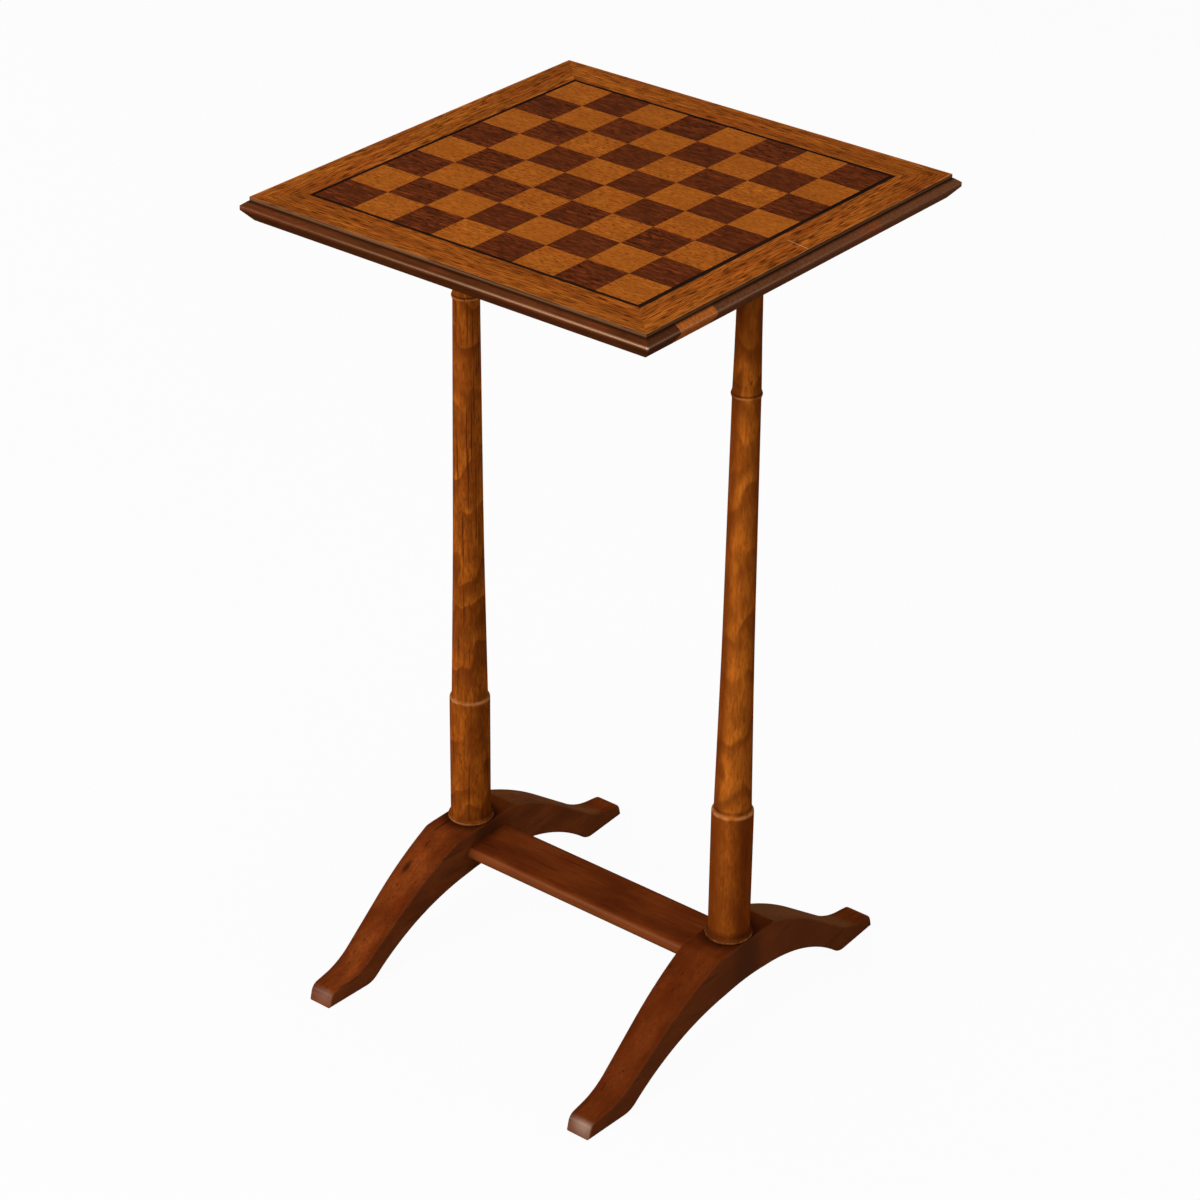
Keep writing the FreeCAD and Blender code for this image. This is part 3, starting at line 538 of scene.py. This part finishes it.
def footFinish(name):
    look = footLook
    own = look[name]
    finish, colour = baseFinish(name, alongY, own)
    if name == "foot_left":
        colour = finish.blend(finish.spot(**look["knot"]) * look["knotDepth"], colour, baseLook["darkLine"])
    # dirt and painted shade round the pillar's flange
    aside = finish.x - own["middle"]
    radius = finish.length(aside, finish.y)
    dirtAndShade = finish.smooth(radius, look["flangeRadius"] + look["grimeShadeReach"], look["flangeRadius"])
    colour = finish.blend(dirtAndShade * look["grimeShadeDepth"], colour, look["grimeAndShade"])
    # the upper face, which tapers towards the toes, is darker along both sides
    normalX, normalY, normalZ = finish.normal()
    toeEnd = look["length"] / 2
    halfWidth = finish.add("ShaderNodeMapRange", {}, {
        "Value": abs(finish.y), "From Min": look["blockEnd"], "From Max": toeEnd,
        "To Min": look["blockHalf"], "To Max": look["toeHalf"],
    })
    sides = finish.smooth(abs(aside) / halfWidth, *look["sideRange"])
    sides = sides * finish.smooth(normalZ, *look["upperRange"])
    colour = finish.blend(sides * look["sideDepth"], colour, baseLook["shadeTone"])
    # the rounded long edges are paler, as wear and a painted highlight, and the upright flanks are greyer, a
    # painted sheen
    edge = finish.smooth(abs(normalX), *look["edgeFrom"]) * finish.smooth(abs(normalX), *look["edgeTo"])
    colour = finish.blend(edge * look["edgeDepth"], colour, baseLook["wornAndHighlit"])
    flank = finish.smooth(abs(normalX), *look["flankRange"])
    colour = finish.blend(flank * look["flankDepth"], colour, look["flankSheen"])
    # dust and a painted sheen on the slopes towards the back toes
    dustAndSheenMask = finish.smooth(normalY, *look["dustSheenSlope"]) * finish.smooth(normalZ, *look["dustSheenUp"])
    colour = finish.blend(dustAndSheenMask * look["dustSheenDepth"], colour, look["dustAndSheen"])
    # the toe ends get a painted highlight, most in one spot, and shine in the coat
    toe = finish.smooth(abs(finish.y), toeEnd - look["toeRounding"], toeEnd)
    toe = toe * finish.smooth(abs(normalY), *look["toeRange"])
    fromGlow = finish.length(aside - look["glowAside"], finish.z - look["glowLevel"])
    glowing = finish.smooth(fromGlow, look["glowReach"], 0.0)
    colour = finish.blend(toe * (look["toeDepth"] + glowing * look["glowDepth"]), colour, own["toeHighlight"])
    film = finish.smooth(normalZ, *baseLook["filmRange"]) * look["film"]
    return finish.close(baseLook, colour, film.larger(toe * look["toeCoat"]))


stretcherLook = dict(
    shift=(5.0, 3.0, 9.0), shade=0.4, edgeRange=(0.95, 0.7), edgeDepth=0.3, upperRange=(0.1, 0.4), film=0.05,
    edgeCoat=0.1,
)


def stretcherFinish():
    look = stretcherLook
    finish, colour = baseFinish("stretcher", alongX, look)
    normalZ = finish.normal()[2]
    # its long edges are paler, as wear and a painted highlight, the upper ones shine in the coat
    edge = finish.smooth(abs(normalZ), *look["edgeRange"])
    colour = finish.blend(edge * look["edgeDepth"], colour, baseLook["wornAndHighlit"])
    film = finish.smooth(normalZ, *baseLook["filmRange"]) * look["film"]
    shine = edge * finish.smooth(normalZ, *look["upperRange"]) * look["edgeCoat"]
    return finish.close(baseLook, colour, film.larger(shine))


for name in ("foot_left", "foot_right"):
    footFinish(name).lay(name)
stretcherFinish().lay("stretcher")
print("feet and stretcher stained")

floorLook = dict(
    reach=40.0, colour=(0.55, 0.55, 0.55, 1), roughness=1.0, white=(1, 1, 1, 1), whiteShare=0.955,
)
reach = floorLook["reach"]
corners = [(-reach, -reach, 0), (reach, -reach, 0), (reach, reach, 0), (-reach, reach, 0)]
floorMesh = bpy.data.meshes.new("floor")
floorMesh.from_pydata(corners, [], [(0, 1, 2, 3)])
floor = bpy.data.objects.new("floor", floorMesh)
bpy.context.scene.collection.objects.link(floor)

# pale floor that keeps the shadow: the camera and reflections see it mixed with plain white
paper = Finish("floor_paper", {
    "Base Color": floorLook["colour"], "Roughness": floorLook["roughness"], "Specular IOR Level": 0.0,
})
rayKinds = ("Is Camera Ray", "Is Glossy Ray", "Is Transmission Ray")
rays = [paper.add("ShaderNodeLightPath", {}, {}, kind) for kind in rayKinds]
seen = rays[0].larger(rays[1]).larger(rays[2])
white = paper.add("ShaderNodeEmission", {}, {"Color": floorLook["white"], "Strength": 1.0})
mixed = paper.add("ShaderNodeMixShader", {}, {0: seen * floorLook["whiteShare"], 1: paper.surface, 2: white})
paper.feed(paper.output, {"Surface": mixed})
floorMesh.materials.append(paper.material)

lampLook = dict(
    softboxes=dict(
        key=dict(spot=(-0.68, -3.36, 2.48), size=2.2, power=130.0),
        overhead=dict(spot=(0.3, -0.3, 3.4), size=2.0, power=38.0),
        frontLeft=dict(spot=(-1.9, -2.75, 1.72), size=1.2, power=26.0, colour=(1.0, 0.88, 0.72)),
        rightFill=dict(spot=(2.8, 0.4, 1.2), size=1.4, power=5.0),
        leftFill=dict(spot=(-2.6, 0.7, 1.1), size=1.4, power=16.0),
        backFill=dict(spot=(1.9, 2.5, 1.4), size=1.4, power=22.0),
        besideCamera=dict(spot=(1.6, -2.2, 2.0), size=0.3, power=5.0),
    ),
    aim=(0.0, 0.0, 0.4), colour=(1.0, 1.0, 1.0), worldColour=(1, 1, 1, 1), worldStrength=0.12,
)


def lookAt(spot, aim, roll=0.0):
    # place and turn of an object whose -Z looks from spot to aim, rolled about that line
    spot = Vector(spot)
    turn = (Vector(aim) - spot).to_track_quat("-Z", "Y").to_matrix().to_4x4()
    return Matrix.Translation(spot) @ turn @ Matrix.Rotation(roll, 4, "Z")


for name, box in lampLook["softboxes"].items():
    lamp = bpy.data.lights.new(name, "AREA")
    lamp.shape = "SQUARE"
    lamp.size = box["size"]
    lamp.energy = box["power"]
    lamp.color = box.get("colour", lampLook["colour"])
    softbox = bpy.data.objects.new(name, lamp)
    softbox.matrix_world = lookAt(box["spot"], lampLook["aim"])
    bpy.context.scene.collection.objects.link(softbox)

world = bpy.data.worlds.new("studio")
bpy.context.scene.world = world
world.use_nodes = True
background = world.node_tree.nodes["Background"]
background.inputs["Color"].default_value = lampLook["worldColour"]
background.inputs["Strength"].default_value = lampLook["worldStrength"]
print("floor and lights set")

cameraLook = dict(
    spot=(1.5174, -1.9071, 1.7135), aim=(0.0, 0.0005, 0.3481), roll=0.67, lens=105.7, sensor=36.0,
)
lens = bpy.data.cameras.new("camera")
lens.lens = cameraLook["lens"]
lens.sensor_width = cameraLook["sensor"]
camera = bpy.data.objects.new("camera", lens)
camera.matrix_world = lookAt(cameraLook["spot"], cameraLook["aim"], math.radians(cameraLook["roll"]))
bpy.context.scene.collection.objects.link(camera)
bpy.context.scene.camera = camera
bpy.context.scene.view_settings.view_transform = "Standard"
